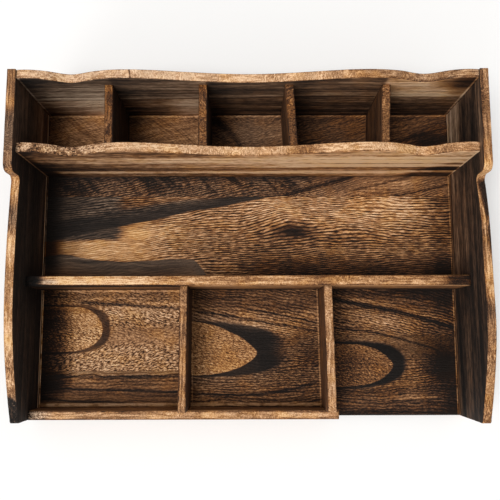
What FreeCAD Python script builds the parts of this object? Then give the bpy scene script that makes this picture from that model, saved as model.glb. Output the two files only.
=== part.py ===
# Desk organizer of scroll-cut, torched boards: five small bays at the back,
# one long tray in the middle and three bays at the front.
# Millimetres, +X right, +Y to the back, +Z up, origin in the middle of the base.
import FreeCAD
import Part
import os

os.makedirs("parts", exist_ok=True)

# Inside sizes of the bays
inner_width = 410.0
rear_bay_depth = 56.2
tray_depth = 105.6
front_bay_depth = 114.2

# Thicknesses of the boards
side_thickness = 7.9
bottom_thickness = 8.0
back_thickness = 8.4
tall_thickness = 8.9
rail_thickness = 9.6
lip_thickness = 8.5
rear_divider_thickness = 8.0
left_divider_thickness = 7.4
right_divider_thickness = 8.2

# Heights above the floor of the tray
side_height = 100.5
back_peak_height = 99.6
tall_peak_height = 93.6
rear_divider_height = 84.0
rail_height = 52.0
front_divider_height = 52.0
lip_height = 30.0
back_seam_height = 51.0

# Sanded rounding along the straight top edges
edge_rounding = 1.2

# How deep the scroll cuts into each panel's top edge
back_scroll_depth = 11.2
tall_scroll_depth = 15.0

# Scroll of a panel's top edge, from the middle to an end: share of the half width,
# share of the scroll depth
scroll_shares = [
    (0.0, 1.0),
    (0.26, 0.56),
    (0.55, 0.0),
    (0.70, 0.54),
    (0.78, 1.0),
    (0.86, 0.42),
    (0.945, 0.02),
    (1.0, 0.06),
]

# Top edge of a side: high flat at the back, shoulder, cove, wave, front corner
shoulder_setback = 92.0
shoulder_radius = 7.5
cove_radius = 5.0
cove_height = 78.5
left_front_height = 56.0
right_front_height = 66.0
front_corner_radius = 3.5

# Wave of each side, from the cove to the front: share of the way, share of the cove's
# height; the left one was sawn a little lower than the right one
left_wave_shares = [
    (0.0, 1.0),
    (0.20, 1.045),
    (0.42, 1.062),
    (0.62, 1.02),
    (0.83, 0.875),
]
right_wave_shares = [
    (0.0, 1.0),
    (0.20, 1.095),
    (0.42, 1.12),
    (0.62, 1.13),
    (0.83, 1.0),
]

# Places of the dividers at their rear and front ends, which stand a little askew:
# the rear ones' drift from even spacing as shares of a bay, the front ones' as shares
# of the half width
rear_divider_drift_shares = [
    (-0.011, 0.003),
    (0.013, 0.014),
    (-0.057, -0.011),
    (0.004, -0.024),
]
left_divider_shares = (-0.291, -0.294)
right_divider_shares = (0.357, 0.368)
lip_overhang = 4.4

# Seams of the floor
rear_seam_setback = 93.9

# Steel brads of flat wire, driven by a nail gun
brad_length = 20.0
brad_width = 1.3
brad_thickness = 1.0
brad_head_width = 2.1
brad_head_height = 0.7
brad_set_depth = 0.3
brad_clearance = 0.03
side_brad_rise = 15.0
tall_brad_rise = 62.0
back_brad_rises = (24.0, 70.0)
lip_brad_rise = 16.0
rail_brad_rise = 34.0
bottom_brad_share = 0.86
bottom_middle_share = 0.3
half = 0.5

# Places along the depth, from the front edge to the back
overall_depth = (
    lip_thickness
    + front_bay_depth
    + rail_thickness
    + tray_depth
    + tall_thickness
    + rear_bay_depth
    + back_thickness
)
front_y = -half * overall_depth
lip_back_y = front_y + lip_thickness
rail_front_y = lip_back_y + front_bay_depth
rail_back_y = rail_front_y + rail_thickness
tall_front_y = rail_back_y + tray_depth
tall_back_y = tall_front_y + tall_thickness
back_front_y = tall_back_y + rear_bay_depth
back_y = back_front_y + back_thickness
rear_seam_y = back_y - rear_seam_setback
front_seam_y = half * (rail_front_y + rail_back_y)

# Places across the width and up
inner_x = half * inner_width
outer_x = inner_x + side_thickness
floor_z = bottom_thickness
divider_count = len(rear_divider_drift_shares)
bay_count = divider_count + 1
rear_bay_width = (inner_width - divider_count * rear_divider_thickness) / bay_count
rear_divider_pitch = rear_bay_width + rear_divider_thickness
rear_divider_ends = []
for number, drift_shares in enumerate(rear_divider_drift_shares, start=1):
    even_x = number * rear_divider_pitch - half * rear_divider_thickness - inner_x
    rear_divider_ends.append([even_x + share * rear_bay_width for share in drift_shares])
left_divider_ends = [share * inner_x for share in left_divider_shares]
right_divider_ends = [share * inner_x for share in right_divider_shares]
lip_end_x = right_divider_ends[1] + half * right_divider_thickness + lip_overhang


def block(x_low, x_high, y_low, y_high, z_low, z_high):
    corner = FreeCAD.Vector(x_low, y_low, z_low)
    return Part.makeBox(x_high - x_low, y_high - y_low, z_high - z_low, corner)


def smooth_edge(points):
    curve = Part.BSplineCurve()
    curve.interpolate(points)
    return curve.toShape()


def straight_edges(points):
    return [Part.makeLine(start, end) for start, end in zip(points[:-1], points[1:])]


# Rounds the top edges above z_low that are longer than a board's thickness
def rounded_top(board, z_low, shortest):
    long_edges = [
        edge
        for edge in board.Edges
        if edge.BoundBox.ZMin > z_low and edge.Length > shortest
    ]
    return board.makeFillet(edge_rounding, long_edges)


# Board standing across the width, with the scroll on its top edge
def scrolled_panel(y_front, thickness, z_low, peak_z, scroll_depth):
    right_half = [
        FreeCAD.Vector(inner_x * across_share, y_front, peak_z - scroll_depth * drop_share)
        for across_share, drop_share in scroll_shares
    ]
    left_half = [FreeCAD.Vector(-point.x, point.y, point.z) for point in right_half[:0:-1]]
    top = left_half + right_half
    low_left = FreeCAD.Vector(-inner_x, y_front, z_low)
    low_right = FreeCAD.Vector(inner_x, y_front, z_low)
    outline = [smooth_edge(top)] + straight_edges([top[-1], low_right, low_left, top[0]])
    face = Part.Face(Part.Wire(Part.__sortEdges__(outline)))
    return face.extrude(FreeCAD.Vector(0, thickness, 0))


# Side board, from its outer or inner face at x_low towards +X
def side_board(x_low, wave_shares, front_height):
    top_z = floor_z + side_height
    shoulder_y = back_y - shoulder_setback
    cove_z = floor_z + cove_height
    cove_y = shoulder_y - cove_radius
    wave_run = cove_y - front_y
    front_z = floor_z + front_height
    slant_share = 1.0 - half**half

    shoulder_start = FreeCAD.Vector(x_low, shoulder_y + shoulder_radius, top_z)
    shoulder_middle = FreeCAD.Vector(
        x_low, shoulder_y + slant_share * shoulder_radius, top_z - slant_share * shoulder_radius
    )
    shoulder_end = FreeCAD.Vector(x_low, shoulder_y, top_z - shoulder_radius)
    cove_start = FreeCAD.Vector(x_low, shoulder_y, cove_z + cove_radius)
    cove_middle = FreeCAD.Vector(
        x_low, shoulder_y - slant_share * cove_radius, cove_z + slant_share * cove_radius
    )
    cove_end = FreeCAD.Vector(x_low, cove_y, cove_z)
    wave = [
        FreeCAD.Vector(x_low, cove_y - wave_run * run_share, floor_z + cove_height * rise_share)
        for run_share, rise_share in wave_shares
    ]
    corner_start = FreeCAD.Vector(x_low, front_y + front_corner_radius, front_z)
    corner_middle = FreeCAD.Vector(
        x_low,
        front_y + slant_share * front_corner_radius,
        front_z - slant_share * front_corner_radius,
    )
    corner_end = FreeCAD.Vector(x_low, front_y, front_z - front_corner_radius)
    foot_front = FreeCAD.Vector(x_low, front_y, 0)
    foot_back = FreeCAD.Vector(x_low, back_y, 0)
    top_back = FreeCAD.Vector(x_low, back_y, top_z)

    outline = [
        Part.makeLine(top_back, shoulder_start),
        Part.Arc(shoulder_start, shoulder_middle, shoulder_end).toShape(),
        Part.makeLine(shoulder_end, cove_start),
        Part.Arc(cove_start, cove_middle, cove_end).toShape(),
        smooth_edge(wave + [corner_start]),
        Part.Arc(corner_start, corner_middle, corner_end).toShape(),
    ]
    outline += straight_edges([corner_end, foot_front, foot_back, top_back])
    face = Part.Face(Part.Wire(Part.__sortEdges__(outline)))
    return face.extrude(FreeCAD.Vector(side_thickness, 0, 0))


# Divider between two boards; its ends follow those boards even when it stands askew
def divider(ends, thickness, y_back, y_front, height):
    reach = half * thickness
    back_x, front_x = ends
    corners = [
        FreeCAD.Vector(back_x - reach, y_back, floor_z),
        FreeCAD.Vector(back_x + reach, y_back, floor_z),
        FreeCAD.Vector(front_x + reach, y_front, floor_z),
        FreeCAD.Vector(front_x - reach, y_front, floor_z),
    ]
    face = Part.Face(Part.makePolygon(corners + corners[:1]))
    board = face.extrude(FreeCAD.Vector(0, 0, height))
    return rounded_top(board, half * (floor_z + height), half * (y_back - y_front))


# Straight bar along a brad's way, from one depth to another
def bar(place, start, end, width, thickness):
    point, way, across = place
    reach = across * (half * width) + way.cross(across) * (half * thickness)
    first = point + way * start - reach
    last = point + way * end + reach
    xs = sorted((first.x, last.x))
    ys = sorted((first.y, last.y))
    zs = sorted((first.z, last.z))
    return block(xs[0], xs[1], ys[0], ys[1], zs[0], zs[1])


# Brad driven from a point on an outer face, its head set just under that face
def brad(place):
    neck = brad_set_depth + brad_head_height
    head = bar(place, brad_set_depth, neck, brad_head_width, brad_thickness)
    shank = bar(place, neck, neck + brad_length, brad_width, brad_thickness)
    return head.fuse(shank).removeSplitter()


def brad_hole(place):
    play = brad_clearance + brad_clearance
    neck = brad_set_depth + brad_head_height
    end = neck + brad_length + brad_clearance
    sink = bar(place, 0, neck, brad_head_width + play, brad_thickness + play)
    hole = bar(place, 0, end, brad_width + play, brad_thickness + play)
    return sink.fuse(hole)


def drilled(board, places):
    for place in places:
        board = board.cut(brad_hole(place))
    return board


def export(name, shape):
    shape.exportStep("parts/" + name + ".step")


# Where the brads go in, by the board that carries their heads
def side_brad_places(x_face, way, across):
    back_middle = half * (back_front_y + back_y)
    tall_middle = half * (tall_front_y + tall_back_y)
    rail_middle = front_seam_y
    floor_middle = half * floor_z
    spots = [
        (back_middle, floor_z + back_brad_rises[0]),
        (back_middle, floor_z + back_brad_rises[1]),
        (tall_middle, floor_z + side_brad_rise),
        (tall_middle, floor_z + tall_brad_rise),
        (rail_middle, floor_z + rail_brad_rise),
        (half * (rear_seam_y + back_y), floor_middle),
        (half * (front_seam_y + rear_seam_y), floor_middle),
        (half * (front_y + front_seam_y), floor_middle),
    ]
    return [(FreeCAD.Vector(x_face, y, z), way, across) for y, z in spots]


to_right = FreeCAD.Vector(1, 0, 0)
to_left = FreeCAD.Vector(-1, 0, 0)
to_back = FreeCAD.Vector(0, 1, 0)
to_front = FreeCAD.Vector(0, -1, 0)
upward = FreeCAD.Vector(0, 0, 1)

lip_middle_y = half * (front_y + lip_back_y)
lip_side_point = FreeCAD.Vector(-outer_x, lip_middle_y, floor_z + lip_brad_rise)
left_places = side_brad_places(-outer_x, to_right, to_back)
left_places += [(lip_side_point, to_right, to_back)]
right_places = side_brad_places(outer_x, to_left, to_back)
back_places = [
    (FreeCAD.Vector(back_x, back_y, floor_z + rise), to_front, to_right)
    for back_x, front_x in rear_divider_ends
    for rise in back_brad_rises
]
rail_places = [
    (FreeCAD.Vector(ends[0], rail_back_y, floor_z + rail_brad_rise), to_front, to_right)
    for ends in (left_divider_ends, right_divider_ends)
]
lip_places = [
    (FreeCAD.Vector(ends[1], front_y, floor_z + lip_brad_rise), to_back, to_right)
    for ends in (left_divider_ends, right_divider_ends)
]
panel_xs = (
    -bottom_brad_share * inner_x,
    -bottom_middle_share * inner_x,
    bottom_middle_share * inner_x,
    bottom_brad_share * inner_x,
)
lip_xs = (-bottom_brad_share * inner_x, -bottom_middle_share * inner_x, bottom_middle_share * inner_x)
bottom_spots = [(x, half * (back_front_y + back_y)) for x in panel_xs]
bottom_spots += [(x, half * (tall_front_y + tall_back_y)) for x in panel_xs]
bottom_spots += [(x, half * (rail_front_y + front_seam_y)) for x in panel_xs]
bottom_spots += [(x, lip_middle_y) for x in lip_xs]
bottom_spots += [
    (half * (back_x + front_x), half * (tall_back_y + back_front_y))
    for back_x, front_x in rear_divider_ends
]
bottom_spots += [
    (half * (back_x + front_x), half * (lip_back_y + rail_front_y))
    for back_x, front_x in (left_divider_ends, right_divider_ends)
]
bottom_places = [(FreeCAD.Vector(x, y, 0), upward, to_right) for x, y in bottom_spots]


# Only the brads that reach a board are cut out of it
def reaching(shape, places):
    box = shape.BoundBox
    found = []
    for place in places:
        if brad_hole(place).BoundBox.intersect(box):
            found.append(place)
    return found


all_places = left_places + right_places + back_places + rail_places + lip_places + bottom_places
upper_seam_z = floor_z + back_seam_height


# Lower and upper strip of the back, split along their seam
def back_strip(z_low, z_high):
    panel = scrolled_panel(
        back_front_y, back_thickness, floor_z, floor_z + back_peak_height, back_scroll_depth
    )
    return panel.common(block(-inner_x, inner_x, back_front_y, back_y, z_low, z_high))


boards = {
    "bottom_board_front": block(-inner_x, inner_x, front_y, front_seam_y, 0, floor_z),
    "bottom_board_middle": block(-inner_x, inner_x, front_seam_y, rear_seam_y, 0, floor_z),
    "bottom_board_rear": block(-inner_x, inner_x, rear_seam_y, back_y, 0, floor_z),
    "left_side": side_board(-outer_x, left_wave_shares, left_front_height),
    "right_side": side_board(inner_x, right_wave_shares, right_front_height),
    "back_panel_lower": back_strip(floor_z, upper_seam_z),
    "back_panel_upper": back_strip(upper_seam_z, floor_z + side_height),
    "tall_panel": scrolled_panel(
        tall_front_y, tall_thickness, floor_z, floor_z + tall_peak_height, tall_scroll_depth
    ),
    "middle_rail": rounded_top(
        block(-inner_x, inner_x, rail_front_y, rail_back_y, floor_z, floor_z + rail_height),
        floor_z,
        inner_x,
    ),
    "front_divider_left": divider(
        left_divider_ends, left_divider_thickness, rail_front_y, lip_back_y, front_divider_height
    ),
    "front_divider_right": divider(
        right_divider_ends, right_divider_thickness, rail_front_y, lip_back_y, front_divider_height
    ),
    "front_lip": rounded_top(
        block(-inner_x, lip_end_x, front_y, lip_back_y, floor_z, floor_z + lip_height),
        floor_z,
        half * inner_x,
    ),
}
for number, ends in enumerate(rear_divider_ends, start=1):
    boards["rear_divider_" + str(number)] = divider(
        ends, rear_divider_thickness, back_front_y, tall_back_y, rear_divider_height
    )

for name, board in boards.items():
    export(name, drilled(board, reaching(board, all_places)))

brad_groups = {
    "left_side_brads": left_places,
    "right_side_brads": right_places,
    "back_brads": back_places,
    "rail_brads": rail_places,
    "lip_brads": lip_places,
    "bottom_brads": bottom_places,
}
for name, places in brad_groups.items():
    export(name, Part.Compound([brad(place) for place in places]))
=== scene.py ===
import bpy
import math
from functools import partial
from mathutils import Matrix, Vector, noise


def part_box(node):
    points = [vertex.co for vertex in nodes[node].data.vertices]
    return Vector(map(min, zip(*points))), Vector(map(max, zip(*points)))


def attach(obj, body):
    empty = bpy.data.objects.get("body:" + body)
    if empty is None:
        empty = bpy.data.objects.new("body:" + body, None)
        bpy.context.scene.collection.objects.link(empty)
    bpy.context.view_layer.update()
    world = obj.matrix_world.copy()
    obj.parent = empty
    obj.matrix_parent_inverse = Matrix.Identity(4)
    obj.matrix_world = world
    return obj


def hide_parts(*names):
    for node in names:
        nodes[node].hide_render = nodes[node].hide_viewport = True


# Looks of the organizer's boards and brads, and its stage
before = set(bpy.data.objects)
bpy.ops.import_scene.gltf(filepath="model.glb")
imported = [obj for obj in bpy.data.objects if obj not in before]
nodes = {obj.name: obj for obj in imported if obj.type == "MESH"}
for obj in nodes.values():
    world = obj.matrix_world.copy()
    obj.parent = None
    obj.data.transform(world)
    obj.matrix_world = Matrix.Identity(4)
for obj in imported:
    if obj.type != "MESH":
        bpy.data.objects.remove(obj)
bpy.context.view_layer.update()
scene = bpy.context.scene
MM = 0.001
MICRON = 1e-6
X, Y, Z = range(3)
LOW, HIGH = range(2)


def station(node, axis, end=LOW):
    """Place of a node's low or high end along an axis, in millimetres."""
    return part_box(node)[end][axis] / MM


INNER_X = station("right_side", X)
FLOOR_TOP = station("bottom_board_middle", Z, HIGH)
LIP_BACK = station("front_lip", Y, HIGH)
RAIL_FRONT = station("middle_rail", Y)
TALL_FRONT = station("tall_panel", Y)
TALL_BACK = station("tall_panel", Y, HIGH)
BACK_FRONT = station("back_panel_lower", Y)
# Where the look changes from bay to bay, along X
FRONT_LEFT_WALL = (-62, -58)
FRONT_RIGHT_WALL = (72, 76)
REAR_LEFT_WALL = (-128, -122)
REAR_RIGHT_WALL = (122, 128)


# Node writing

def written(operation, turned=False):
    """A method that writes a math node; a turned one swaps the node's two inputs."""
    def method(self, other=None):
        inputs = (other, self) if turned else (self, other)
        return self.paint.math(operation, *inputs)

    return method


class Signal:
    """A number at each point of a surface, made by shader nodes."""
    __add__ = __radd__ = written("ADD")
    __sub__ = written("SUBTRACT")
    __rsub__ = written("SUBTRACT", turned=True)
    __mul__ = __rmul__ = written("MULTIPLY")
    __truediv__ = written("DIVIDE")
    __abs__ = written("ABSOLUTE")
    max = written("MAXIMUM")
    min = written("MINIMUM")
    exp = written("EXPONENT")
    sin = written("SINE")
    root = written("SQRT")

    def __init__(self, paint, socket):
        self.paint = paint
        self.socket = socket

    def __neg__(self):
        return self * -1

    def rise(self, low, high):
        """0 below low, 1 above high, smooth between."""
        node = self.paint.node("MapRange")
        node.interpolation_type = "SMOOTHSTEP"
        self.paint.plug(self, node.inputs["Value"])
        self.paint.plug(low, node.inputs["From Min"])
        self.paint.plug(high, node.inputs["From Max"])
        return Signal(self.paint, node.outputs[0])

    def fall(self, low, high):
        return 1 - self.rise(low, high)

    def span(self, start, full, fade, end):
        """1 from full to fade, 0 before start and after end."""
        return self.rise(start, full) * self.fall(fade, end)

    def near(self, place, reach):
        """1 at a place, falling off both ways."""
        off = (self - place) / reach
        return (-(off * off)).exp()

    def mix(self, other, share):
        return self + (other - self) * share


# Steps that keep the noises of different seeds apart
SEED_STEPS = (7.31, 3.77)


class Paint:
    """Writes one material's nodes. Coordinates are in millimetres, in the object's frame."""

    def __init__(self, name):
        self.material = bpy.data.materials.new(name)
        self.material.use_nodes = True
        self.tree = self.material.node_tree
        self.link = self.tree.links.new
        self.shader = self.tree.nodes["Principled BSDF"]
        self.x, self.y, self.z = [part * (1 / MM) for part in self.parts("TexCoord", "Object")]
        self.normal = self.parts("NewGeometry", "Normal")

    def node(self, kind):
        return self.tree.nodes.new("ShaderNode" + kind)

    def parts(self, kind, output):
        """The three numbers that a node gives at each point."""
        apart = self.node("SeparateXYZ")
        self.link(self.node(kind).outputs[output], apart.inputs[0])
        return [Signal(self, socket) for socket in apart.outputs]

    def plug(self, value, socket):
        """Feeds a signal or a number into a socket."""
        if isinstance(value, Signal):
            self.link(value.socket, socket)
        else:
            socket.default_value = value

    def math(self, operation, first, second):
        node = self.node("Math")
        node.operation = operation
        self.plug(first, node.inputs[0])
        if second is not None:
            self.plug(second, node.inputs[1])
        return Signal(self, node.outputs[0])

    def noise(self, a, b, c=0, detail=2, roughness=0.5, seed=0):
        """Noise about 0.5; a, b and c are already scaled so that 1 is a feature."""
        vector = self.node("CombineXYZ")
        self.plug(a + seed * SEED_STEPS[0], vector.inputs[0])
        self.plug(b + seed * SEED_STEPS[1], vector.inputs[1])
        self.plug(c, vector.inputs[2])
        node = self.node("TexNoise")
        node.inputs["Scale"].default_value = 1
        node.inputs["Detail"].default_value = detail
        node.inputs["Roughness"].default_value = roughness
        self.link(vector.outputs[0], node.inputs["Vector"])
        return Signal(self, node.outputs["Fac"])

    def blob(self, a, b, middle, size, turn=0):
        """1 at the middle, falling off over the size."""
        cos, sin = math.cos(turn), math.sin(turn)
        da, db = a - middle[0], b - middle[1]
        p = (da * cos + db * sin) / size[0]
        q = (db * cos - da * sin) / size[1]
        return (-(p * p + q * q)).exp()

    def blend(self, first, second, share):
        node = self.node("Mix")
        node.data_type = "RGBA"
        self.plug(share, node.inputs[0])
        self.link(first, node.inputs[6])
        self.link(second, node.inputs[7])
        return node.outputs[2]

    def ramp(self, value, stops):
        node = self.node("ValToRGB")
        elements = node.color_ramp.elements
        while len(elements) > 1:
            elements.remove(elements[-1])
        elements[0].position, elements[0].color = stops[0][0], (*linear(stops[0][1]), 1)
        for place, colour in stops[1:]:
            elements.new(place).color = (*linear(colour), 1)
        self.plug(value, node.inputs[0])
        return node.outputs[0]

    def bump(self, height, distance, strength):
        node = self.node("Bump")
        node.inputs["Distance"].default_value = distance
        node.inputs["Strength"].default_value = strength
        self.plug(height, node.inputs["Height"])
        self.link(node.outputs[0], self.shader.inputs["Normal"])


def linear(colour):
    shares = [value / 255 for value in colour]
    return [s / 12.92 if s <= 0.04045 else ((s + 0.055) / 1.055) ** 2.4 for s in shares]


# Wood

# From char to bare brushed wood, as it looks in plain light
WOOD_TONES = [
    (0, (12, 8, 6)),
    (0.12, (29, 19, 13)),
    (0.25, (55, 36, 24)),
    (0.38, (87, 59, 40)),
    (0.5, (122, 85, 57)),
    (0.62, (157, 115, 80)),
    (0.75, (194, 147, 109)),
    (0.88, (230, 184, 145)),
    (1, (252, 214, 176)),
]
ASH_TONES = [
    (0, (18, 16, 15)),
    (0.25, (52, 45, 40)),
    (0.5, (104, 88, 74)),
    (1, (226, 206, 182)),
]
AMBER_TONES = [
    (0, (14, 7, 3)),
    (0.25, (66, 36, 15)),
    (0.5, (140, 88, 43)),
    (0.75, (208, 150, 88)),
    (1, (254, 208, 150)),
]


def fine_grain(paint, along, across, deep, seed):
    """(streaks, pores): long soft streaks and short dark pores along the grain, about 0."""
    streaks = paint.noise(along * 0.012, across * 0.42, deep * 0.42, 4, 0.68, seed)
    pores = paint.noise(along * 0.11, across * 1.3, deep * 1.3, 2, 0.6, seed + 1)
    return streaks - 0.5, pores.rise(0.56, 0.72)


def dashes(paint, along, across, length, pitch, waver, seed):
    """Short wavy dashes that brushing leaves in plain-sawn wood, -0.5 to 0.5."""
    bend = paint.noise(along / (length * 0.9), across / (pitch * 3.5), 0, 1, 0.5, seed) - 0.5
    body = paint.noise(along / length, (across + bend * waver) / pitch, 0, 2, 0.65, seed + 1)
    return body.rise(0.38, 0.6) - 0.5


def ripples(paint, along, across, period, waver, seed):
    """Long wavy lines of the brushed grain, -0.5 to 0.5, thin where dark."""
    bend = paint.noise(along / 13, across / 8, 0, 2, 0.55, seed) - 0.5
    slow = paint.noise(along / 90, across / 45, 0, 1, 0.5, seed + 1)
    wave = ((across + bend * waver + slow * 20) * (2 * math.pi / period)).sin()
    gaps = paint.noise(along / 18, across / 1.5, 0, 3, 0.6, seed + 2)
    return (wave * 0.45 + (gaps - 0.5) * 2.2).rise(-0.6, 0.3) - 0.5


def finish_wood(paint, tone, relief, hue):
    """hue runs from -1, ashen, through 0 to 1, amber."""
    colour = paint.ramp(tone, WOOD_TONES)
    warm = paint.noise(paint.x * 0.045, paint.y * 0.06, paint.z * 0.06, 3, 0.6, 55)
    amber = (warm.rise(0.44, 0.66) * 0.5 + 0.22 + hue).max(0).min(1)
    colour = paint.blend(colour, paint.ramp(tone, AMBER_TONES), amber)
    colour = paint.blend(colour, paint.ramp(tone, ASH_TONES), (-hue).max(0).min(1))
    paint.link(colour, paint.shader.inputs["Base Color"])
    paint.plug(0.8 - tone * 0.25, paint.shader.inputs["Roughness"])
    paint.shader.inputs["Specular IOR Level"].default_value = 0.25
    paint.bump(relief, 0.0007, 0.8)
    return paint.material


def sawn_edge(paint, along, across, deep, base, patchy, curl, seed):
    """(tone, relief) of a sawn and brushed edge: bare wood with scorched patches.
    curl is the share of marks that run across the edge instead of along it."""
    patches = paint.noise(along * 0.02, across * 0.04, deep * 0.04, 3, 0.6, seed) - 0.5
    small = paint.noise(along * 0.07, across * 0.16, deep * 0.16, 2, 0.6, seed + 2) - 0.5
    bend = paint.noise(along * 0.06, across * 0.1, deep * 0.1, 1, 0.5, seed + 5) * 3
    streaks = paint.noise(along * 0.03, across * 0.75 + bend, deep * 0.75 + bend, 2, 0.6, seed + 4)
    streaks = streaks.rise(0.38, 0.62) - 0.5
    askew = across + deep
    lean = paint.noise(along * 0.018, 0, 0, 1, 0.5, seed + 8) * 3.4 - 1.4
    marks = paint.noise((along + askew * lean) * 0.46 + bend * 0.7, askew * 0.25, 0, 3, 0.6, seed + 3)
    marks = marks.rise(0.38, 0.62) - 0.5
    where = paint.noise(along * 0.03, across * 0.02, deep * 0.02, 1, 0.5, seed + 6)
    where = where.rise(0.62 - curl * 0.35, 0.76 - curl * 0.35)
    specks = paint.noise(along, across * 1.3, deep * 1.3, 1, 0.5, seed + 7).rise(0.36, 0.64) - 0.5
    tone = base + (patches * 0.6 + small * 0.4) * patchy
    tone += streaks.mix(marks, where) * 0.28 + specks * 0.19
    return tone, streaks * 0.5 + marks * 0.4 + specks * 0.4


def board_paint(name, axes, face_tone, edge_base, seed, edge_extra, patchy, curl, worn):
    """A torched board. axes names the ones along, across and through it. face_tone gives
    (tone, relief) or (tone, relief, hue) of its broad faces; its edges show where the surface
    turns away from the last axis, and edge_extra gives their (change of tone, hue). worn
    darkens the arrises."""
    paint = Paint(name)
    u, v, w = [getattr(paint, axis) for axis in axes]
    tone, relief, *hue = face_tone(paint, u, v, w)
    edge, edge_relief = sawn_edge(paint, u, v, w, edge_base, patchy, curl, seed + 9)
    edge_hue = 0
    if edge_extra:
        change, edge_hue = edge_extra(paint, u, v, w)
        edge += change
    facing = abs(paint.normal["xyz".index(axes[2])])
    arris = facing.span(0.1, 0.45, 0.93, 0.99)
    ragged = paint.noise(u * 0.25, v * 0.25, w * 0.25, 2, 0.6, seed + 5)
    edge -= arris * ragged.rise(0.3, 0.6) * worn
    turned = facing.fall(0.55, 0.85)
    under = paint.normal[2].fall(-0.6, -0.2)
    edge = edge.mix(0.3, under)
    tone = tone.mix(edge, turned)
    relief = relief.mix(edge_relief, turned)
    face_hue = hue[0] if hue else relief * 0
    return finish_wood(paint, tone.max(0.03).min(1), relief, face_hue.mix(edge_hue, turned))


def shading(paint, x, y, places):
    """Sum of soft light and dark places."""
    total = 0
    for middle, reach, gain, *turn in places:
        total = paint.blob(x, y, middle, reach, *turn) * gain + total
    return total


def foot_line(distance, width):
    """The pale line where the brush missed the foot of a wall."""
    return distance.span(0, width * 0.35, width * 0.65, width * 1.1)


# Broad faces: each function gives (tone, relief) or (tone, relief, hue)

# Growth-ring tongues of the front floor board, and the outer outlines of the dark rings
# round them: (tip x, tip y, half width, sharpness, spread per mm, bluntness, drift and bend
# of the middle)
TONGUES = [
    (-143.2, -71.2, 17, 10, 0, 7, 0, 0),
    (8.2, -95.8, 23.8, 25, 0.02, 4, 0.13, -0.0008),
    (142.6, -107.3, 17.5, 13, 0.03, 3, 0, 0),
]
RINGS = [
    (-134.8, -70.6, 18.1, 9, 0, 7, -0.02, 0),
    (45, -93, 25.2, 24, 0, 3, 0.022, 0),
    (156.5, -105.6, 17.9, 11, 0.03, 3.4, -0.02, 0),
]
# How far behind its tip each ring fades in
RING_FADE = (3, 30, 6)
# Middle of the brushed fan in the left bay
FAN_Y = -78
# Tone inside each tongue and the part of the board that it is seen in
TONGUE_INSIDE = (-0.04, 0, -0.01)
TONGUE_REACH = ((-210, -60), (-60, 74), (72, 210))

# Dark growth lines of the front floor board: (start, end, bow, thickness, darkness,
# pale line above)
GROWTH_LINES = [
    ((-172, -45.1), (-60, -53), 1, 1.5, 0.34, 0.1),
    ((-202, -117.5), (-60, -117.5), -0.5, 1.5, 0.4, 0),
    ((-190, -129.1), (-60, -132.3), 0, 1.3, 0.3, 0.06),
    ((-202, -138.3), (-110, -143.6), -1, 1.5, 0.26, 0),
    ((-57, -53.4), (69, -74.5), 0.5, 1.2, 0.28, 0.08),
    ((-10, -51), (69, -65.5), 0.8, 1.2, 0.22, 0.06),
    ((-57, -133), (69, -123), -7.5, 1.5, 0.26, 0.04),
    ((76, -42), (207, -72), 2.8, 2, 0.36, 0.14),
    ((80, -70.4), (188, -94), 4.2, 1.2, 0.24, 0.06),
    ((135, -141), (190, -139), -2, 1, 0.16, 0.1),
]


def tongue_depth(x, y, tongue):
    """Depth inside a tongue's outline, negative outside."""
    tip_x, tip_y, half_width, sharpness, spread, blunt, drift, sag = tongue
    away = tip_x - x
    bend = (-(away / sharpness)).min(1.4).exp()
    off = y - tip_y - away * drift - away * away * sag
    reach = half_width * (1 - bend) + away.max(0) * spread
    slope = bend * (half_width / sharpness) + spread
    depth = reach - (off * off + blunt * blunt).root() + blunt
    return depth / (slope * slope + 1).root() - (-away).max(0) * 0.6


def missed(tone, strips, x, y):
    """Turns the strips pale, here more and there less."""
    broken = x.paint.noise((x + y) * 0.07, (x - y) * 0.07, seed=6).rise(0.34, 0.56)
    return tone.mix(0.86, strips * (0.55 + broken * 0.45)).max(0.04)


def growth_line(x, y, start, end, bow, thick):
    """(1 on a bowed line, 1 on the pale strip above it), fading at both ends."""
    share = (x - start[0]) / (end[0] - start[0])
    middle = share * (end[1] - start[1]) + start[1] + share * (1 - share) * (4 * bow)
    ends = share.span(-0.02, 0.12, 0.94, 1.04)
    return y.near(middle, thick) * ends, y.near(middle + thick * 2.2, thick) * ends


# Soft light and dark places of the front floor board, bay by bay: (middle, reach, gain,
# and a turn where one lies askew)
LEFT_BAY_PLACES = [
    ((-112, -55), (52, 7), 0.12),
    ((-111, -103), (14, 9), -0.05),
    ((-160, -122), (16, 10), 0.09),
    ((-157, -70), (13, 9), 0.06),
    ((-162, -88), (13, 8), 0.1),
    ((-172, -137), (16, 8), 0.09),
    ((-112, -68), (16, 12), -0.05),
    ((-128, -102), (46, 9), 0.07),
]
MIDDLE_BAY_PLACES = [
    ((0, -67.5), (55, 4.5), 0.2, -0.14),
    ((-8, -112), (44, 7), 0.08),
    ((62, -96), (26, 34), -0.26),
    ((30, -113), (16, 13), -0.18),
    ((-46, -134), (9, 8), 0.14),
    ((-30, -87), (13, 7), 0.08),
    ((2, -69), (10, 6), 0.07),
    ((64, -56), (9, 9), 0.08),
]
RIGHT_BAY_PLACES = [
    ((128, -63), (44, 9), 0.22, -0.22),
    ((130, -82), (34, 5), 0.14, -0.2),
    ((168, -138), (28, 4.5), 0.16),
    ((193, -110), (14, 17), -0.54, 0.3),
    ((99, -108), (13, 22), -0.13),
    ((113, -86), (15, 7), 0.1),
    ((194, -52), (13, 15), -0.12),
    ((176, -148), (13, 6), 0.12),
    ((178, -36), (46, 9), -0.26, -0.1),
]


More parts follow.
